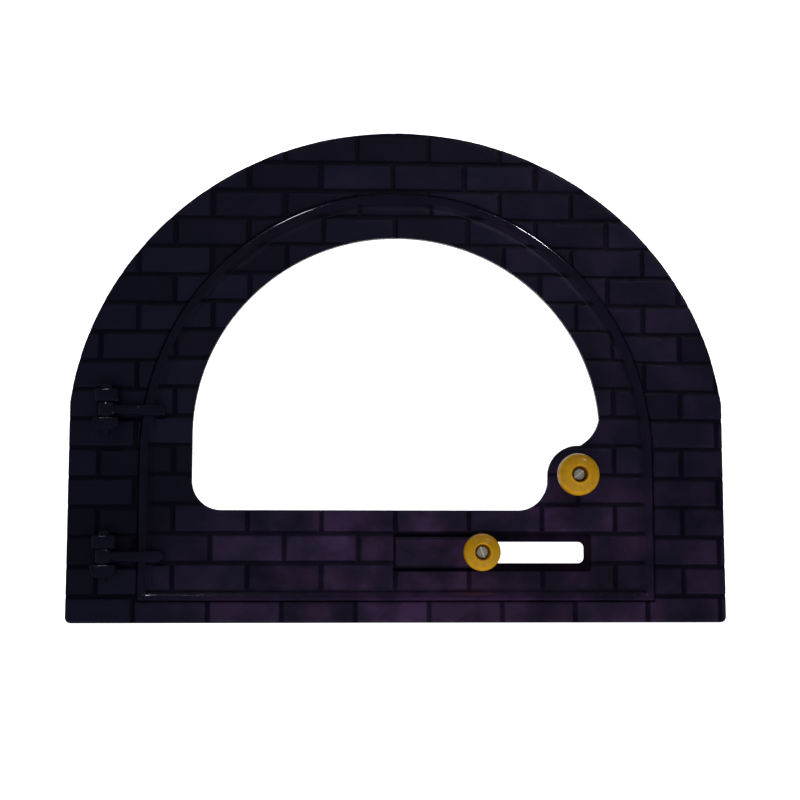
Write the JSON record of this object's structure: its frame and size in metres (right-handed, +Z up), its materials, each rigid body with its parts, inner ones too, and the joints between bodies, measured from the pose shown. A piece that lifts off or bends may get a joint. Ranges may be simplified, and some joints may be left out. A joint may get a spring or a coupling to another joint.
{
  "type": "glass oven door",
  "caption": "Arched cast-iron oven-mouth door with a brick-pattern face, a hinged leaf with a glass window, a turning latch knob and a sliding air damper.",
  "frame": {"origin": "middle of the frame's lower edge, in the plane of the rear rim", "axes": "+Z up, +X to the right seen from the front, -Y towards the user; the rear rim faces +Y"},
  "size_m": [0.51, 0.0507, 0.387],
  "materials": {
    "painted_iron": "satin-gloss near-black paint with a blue-violet cast over a rough casting",
    "dark_steel": "dark oiled steel",
    "zinc_steel": "zinc-plated, slightly dull",
    "varnished_wood": "turned wood under thick glossy amber varnish",
    "clear_glass": "clear heat-resistant pane",
    "gasket": "woven glass-fibre tape"
  },
  "bodies": {
    "frame": {"frame": "painted_iron", "seat_lip": "painted_iron", "rear_skirt": "painted_iron", "rear_bosses": "painted_iron", "hinge_lugs": "painted_iron", "hinge_pin_upper": "dark_steel", "hinge_pin_lower": "dark_steel"},
    "leaf": {"door_leaf": "painted_iron", "glass_gasket": "gasket", "glass_pane": "clear_glass", "glass_clips": "zinc_steel", "clip_screws": "zinc_steel"},
    "latch": {"latch_knob": "varnished_wood", "latch_collar": "zinc_steel", "latch_screw": "zinc_steel", "latch_spindle": "dark_steel", "latch_tongue": "dark_steel", "latch_washer": "zinc_steel", "latch_nut": "zinc_steel"},
    "damper": {"damper_plate": "painted_iron", "damper_knob": "varnished_wood", "damper_collar": "zinc_steel", "damper_screw": "zinc_steel", "damper_guide": "dark_steel", "damper_backplate": "dark_steel", "damper_nut": "zinc_steel"}
  },
  "joints": [
    {"name": "leaf_hinge", "type": "hinge", "parent": "frame", "child": "leaf", "pos_m": [-0.2254, -0.03, 0.1068], "axis": [0, 0, -1], "range_deg": [0, 165]},
    {"name": "latch_turn", "type": "hinge", "parent": "leaf", "child": "latch", "pos_m": [0.1373, -0.0224, 0.1135], "axis": [0, -1, 0], "range_deg": [0, 60]},
    {"name": "damper_slide", "type": "slide", "parent": "leaf", "child": "damper", "axis": [1, 0, 0], "range_m": [0, 0.076]}
  ]
}
